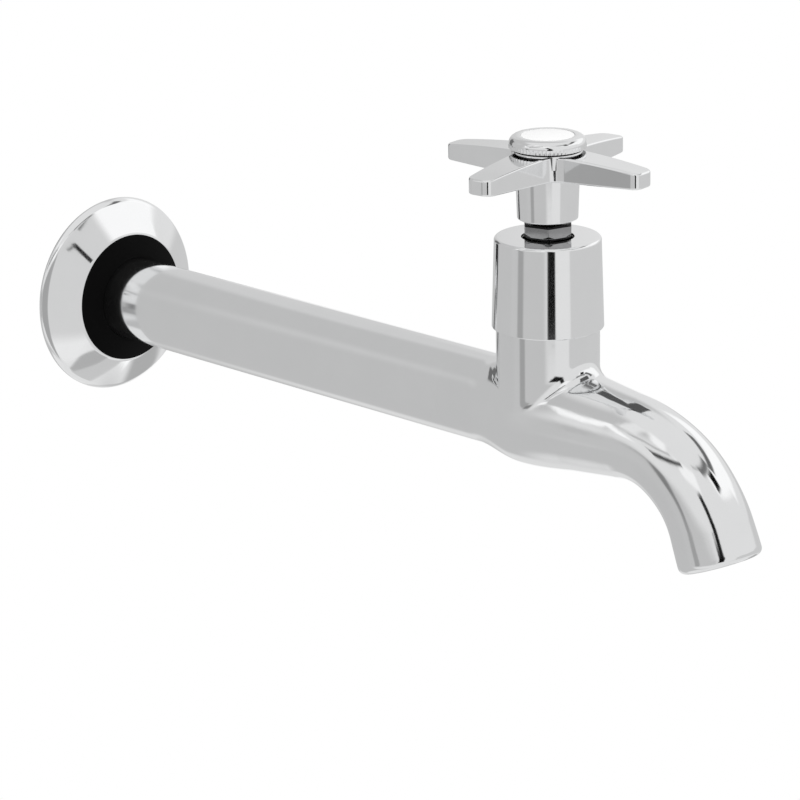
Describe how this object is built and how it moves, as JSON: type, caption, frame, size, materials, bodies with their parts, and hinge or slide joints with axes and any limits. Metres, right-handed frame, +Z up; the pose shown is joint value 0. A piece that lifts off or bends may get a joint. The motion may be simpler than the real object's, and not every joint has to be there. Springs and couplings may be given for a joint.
{
  "type": "wall-mounted tap",
  "caption": "Wall-mounted tap with a long round barrel, a downturned spout, a star handle on a jumper-valve headwork and a round wall flange.",
  "frame": {"origin": "on the barrel's axis in the plane of the wall, where the tail enters the wall fitting", "axes": "+X out of the wall along the barrel, +Z up along the spindle, +Y to the left as seen from the wall"},
  "size_m": [0.2606, 0.0608, 0.1056],
  "materials": {
    "plated_casting": "polished",
    "plated_tube": "polished",
    "plated_sheet": "polished",
    "plated_handle": "polished",
    "plated_nut": "satin",
    "inlay": "gloss",
    "black_rubber": "matt",
    "packing": "matt",
    "fibre": "matt",
    "bare_brass": "turned",
    "steel": "turned"
  },
  "bodies": {
    "body": {"tap_body": "plated_casting", "barrel_tube": "plated_tube", "inlet_tail": "bare_brass", "seat_ring": "bare_brass", "headwork_body": "bare_brass", "headwork_washer": "fibre", "gland_packing": "packing", "gland_washer": "bare_brass", "gland_nut": "plated_nut", "shroud": "plated_sheet", "shroud_ring": "black_rubber"},
    "valve": {"jumper": "bare_brass", "jumper_washer": "black_rubber", "jumper_nut": "bare_brass"},
    "handle": {"spindle": "bare_brass", "star_handle": "plated_handle", "handle_lock_washer": "steel", "handle_screw": "steel", "index_button": "plated_handle", "button_inlay": "inlay"},
    "flange": {"wall_flange": "plated_sheet", "flange_seal": "black_rubber"}
  },
  "joints": [
    {"name": "valve_lift", "type": "slide", "parent": "body", "child": "valve", "axis": [0, 0, 1], "range_m": [0, 0.006]},
    {"name": "handle_turn", "type": "hinge", "parent": "valve", "child": "handle", "pos_m": [0.176, 0, 0.06], "axis": [0, 0, 1], "range_deg": [0, 720]},
    {"name": "flange_slide", "type": "slide", "parent": "body", "child": "flange", "axis": [1, 0, 0], "range_m": [0, 0.13]}
  ],
  "couplings": [
    {"joint": "handle_turn", "follows": "valve_lift", "rad_per_m": 2094.4}
  ]
}
